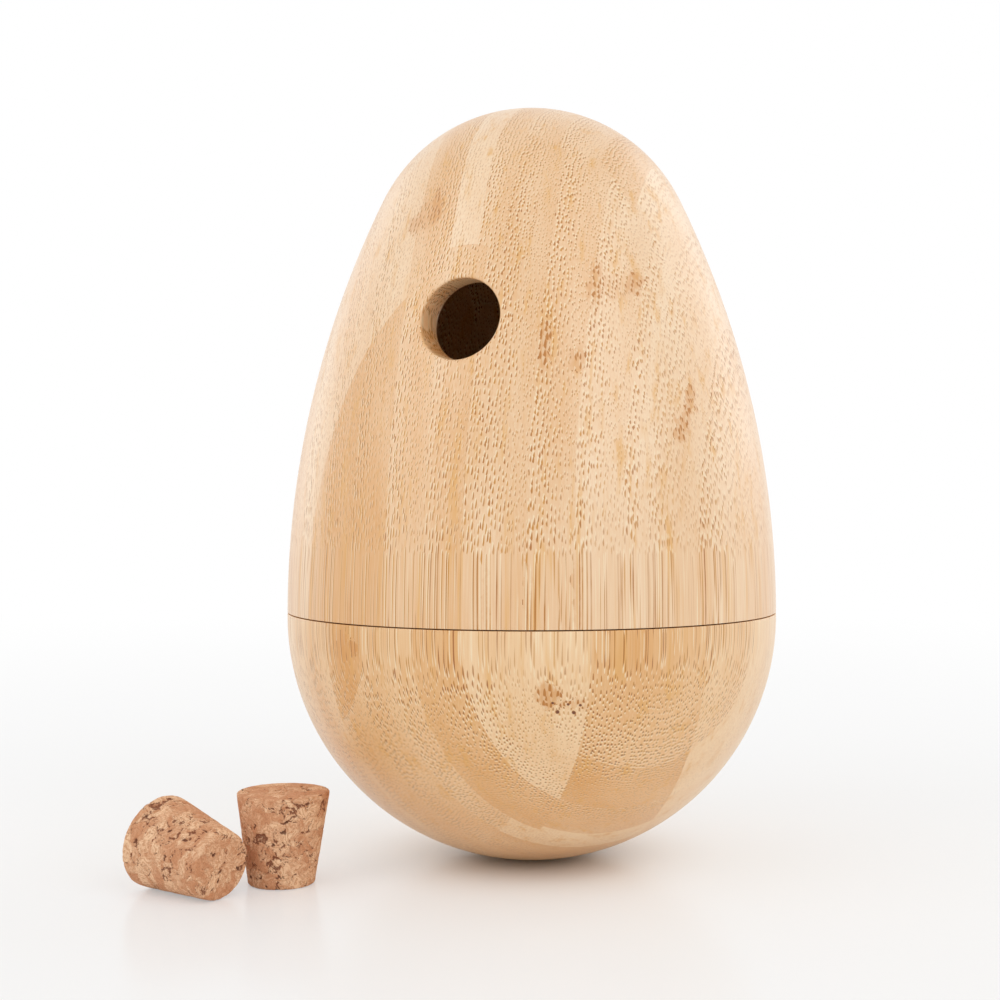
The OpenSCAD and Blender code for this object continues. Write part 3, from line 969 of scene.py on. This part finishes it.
def pressed_cork(seed):
    """The points and faces of a cork on its axis, small end down, with its flat form, and its marks: for each
    point the tone of its grain, its place across the grain's yearly layers, and how deep it lies in a crack
    and in a pit. A grain is what lies nearest to a random middle, in a space bent by waves and pressed flat,
    and a crack is where two middles are as near. A pit is a ball taken out, deepest in its middle."""
    luck = np.random.default_rng(seed)
    points, walls, caps = turned(cork_line, cork_turns)
    bent = points + 0.55 * bends(points, 14, 1.6, 5.0, luck)
    bent = bent + 0.16 * bends(points, 14, 0.5, 1.2, luck)
    pressed = bent * (1, 1, pressing)
    side, end = cork_large_r + 1, 1.5
    lowest, highest = (-side, -side, -end), (side, side, cork_length * pressing + end)
    middles = luck.uniform(lowest, highest, (grain_count, 3))
    tones = luck.uniform(0, 1, grain_count)
    openness = luck.uniform(0, 1, grain_count)
    ways = luck.normal(size=(grain_count, 3))
    ways /= np.linalg.norm(ways, axis=1)[:, None]
    gaps = np.sqrt(((pressed[:, None, :] - middles[None]) ** 2).sum(2))
    order = np.argpartition(gaps, 1, axis=1)[:, :2]
    near = np.take_along_axis(gaps, order, 1)
    grain_of = np.where(near[:, 0] <= near[:, 1], order[:, 0], order[:, 1])
    other = np.where(near[:, 0] <= near[:, 1], order[:, 1], order[:, 0])
    layer = (bent * ways[grain_of]).sum(1)
    both_open = openness[grain_of] * openness[other]
    crack = 1 - level(np.abs(near[:, 1] - near[:, 0]), 0, 0.2 + 0.24 * level(both_open, 0.1, 0.7))
    crack *= 0.4 + 0.6 * level(both_open, 0.1, 0.4)
    hollows = points[luck.integers(0, len(points), hollow_count)]
    sizes = luck.uniform(0.3, 0.62, hollow_count)
    apart = (points + 0.25 * bends(points, 10, 0.5, 1.5, luck))[:, None, :] - hollows[None]
    pit = np.clip(1 - (np.sqrt((apart**2).sum(2)) / sizes) ** 2, 0, 1).max(1)
    from_middle = points[:, 2] - cork_length / 2
    is_end = np.abs(from_middle) > cork_length / 2 - 0.01
    outward = np.stack([points[:, 0], points[:, 1], np.where(is_end, np.sign(from_middle) * 50, 0)], 1)
    outward /= np.linalg.norm(outward, axis=1)[:, None]
    lumps = np.clip(0.5 + 0.5 * waves(points, 16, 1.5, 4.0, luck), 0, 1)
    sunk = crack_depth * crack + pit_depth * pit + lump_depth * lumps
    return points, points - outward * sunk[:, None], walls, caps, (tones[grain_of], layer, crack, pit)


def stand(points):
    """Leans a cork a little to the photograph's right, keeping its foot flat."""
    lean_way = np.array([math.cos(view_turn), math.sin(view_turn), 0])
    return points + lean * (points[:, 2:] - cork_length / 2) * lean_way


def lie(points):
    """Lays a cork on its slanting side, its small end to the right, then turns that a little to the front."""
    tip = -math.pi / 2 + cork_taper
    across = points[:, 0] * math.cos(tip) + points[:, 2] * math.sin(tip)
    height = -points[:, 0] * math.sin(tip) + points[:, 2] * math.cos(tip)
    along = points[:, 1]
    return np.stack([across * math.cos(lie_turn) - along * math.sin(lie_turn),
                     across * math.sin(lie_turn) + along * math.cos(lie_turn), height], 1)


def cork_piece(name, node, low, seed, lay):
    """A pressed cork set down by lay, the low corner of its flat form at the low corner of its node."""
    flat, worn, walls, caps, marks = pressed_cork(seed)
    shift = low - lay(flat).min(0)
    made = smooth_mesh(name, lay(worn) + shift, walls.reshape(-1, 4).tolist() + caps)
    for label, values in zip(cork_marks, marks):
        made.data.attributes.new(label, "FLOAT", "POINT").data.foreach_set("value", values.astype(np.float32))
    made.data.materials.append(cork)
    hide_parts(node)
    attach(made, "bowl")


# The cork's colours: its grains, their yearly layers, fine dark veins, torn cracks and open pits
layer_width = 0.75
cork, tree, principled = finish_of("pressed_cork")
place = wire(tree, "Mapping", wire(tree, "TexCoord").outputs["Object"], None, None, to_mm).outputs[0]
tone, layer, crack, pit = (wire(tree, "Attribute", attribute_name=mark).outputs["Fac"] for mark in cork_marks)
mottle = noise(tree, place, 4.0, 0.65, 0.8)[0]
cells = noise(tree, place, 3.0, 0.7, 3.2)[0]
depth = varied(tree, mottle, 1.1, tone)
depth = varied(tree, cells, 0.9, depth)
colour = mixed(tree, ease(tree, depth, -0.1, 1.1), shade(250, 208, 168), shade(214, 154, 114))
phase = reckon(tree, "MULTIPLY", reckon(tree, "ADD", mottle, layer), 2 * math.pi / layer_width)
layers = reckon(tree, "SINE", phase)
colour = mixed(tree, ease(tree, layers, 0.0, 0.9, 0.0, 0.6), colour, shade(198, 134, 92))
from_vein = reckon(tree, "ABSOLUTE", reckon(tree, "SUBTRACT", mottle, 0.52))
colour = mixed(tree, ease(tree, from_vein, 0.014, 0.0, 0.0, 0.5), colour, shade(140, 82, 52))
torn = varied(tree, cells, 1.6, crack)
colour = mixed(tree, ease(tree, torn, 0.42, 0.8, 0.0, 0.85), colour, shade(118, 62, 38))
colour = mixed(tree, ease(tree, pit, 0.05, 0.5, 0.0, 0.85), colour, shade(104, 56, 38))
tree.links.new(colour, principled.inputs["Base Color"])
principled.inputs["Roughness"].default_value = 0.8
principled.inputs["Specular IOR Level"].default_value = 0.3
embossed(tree, principled, cells, 0.5, 0.0002)
cork_piece("standing_cork_pressed", "standing_cork", stand_low, 11, stand)
cork_piece("lying_cork_pressed", "lying_cork", lie_low, 23, lie)
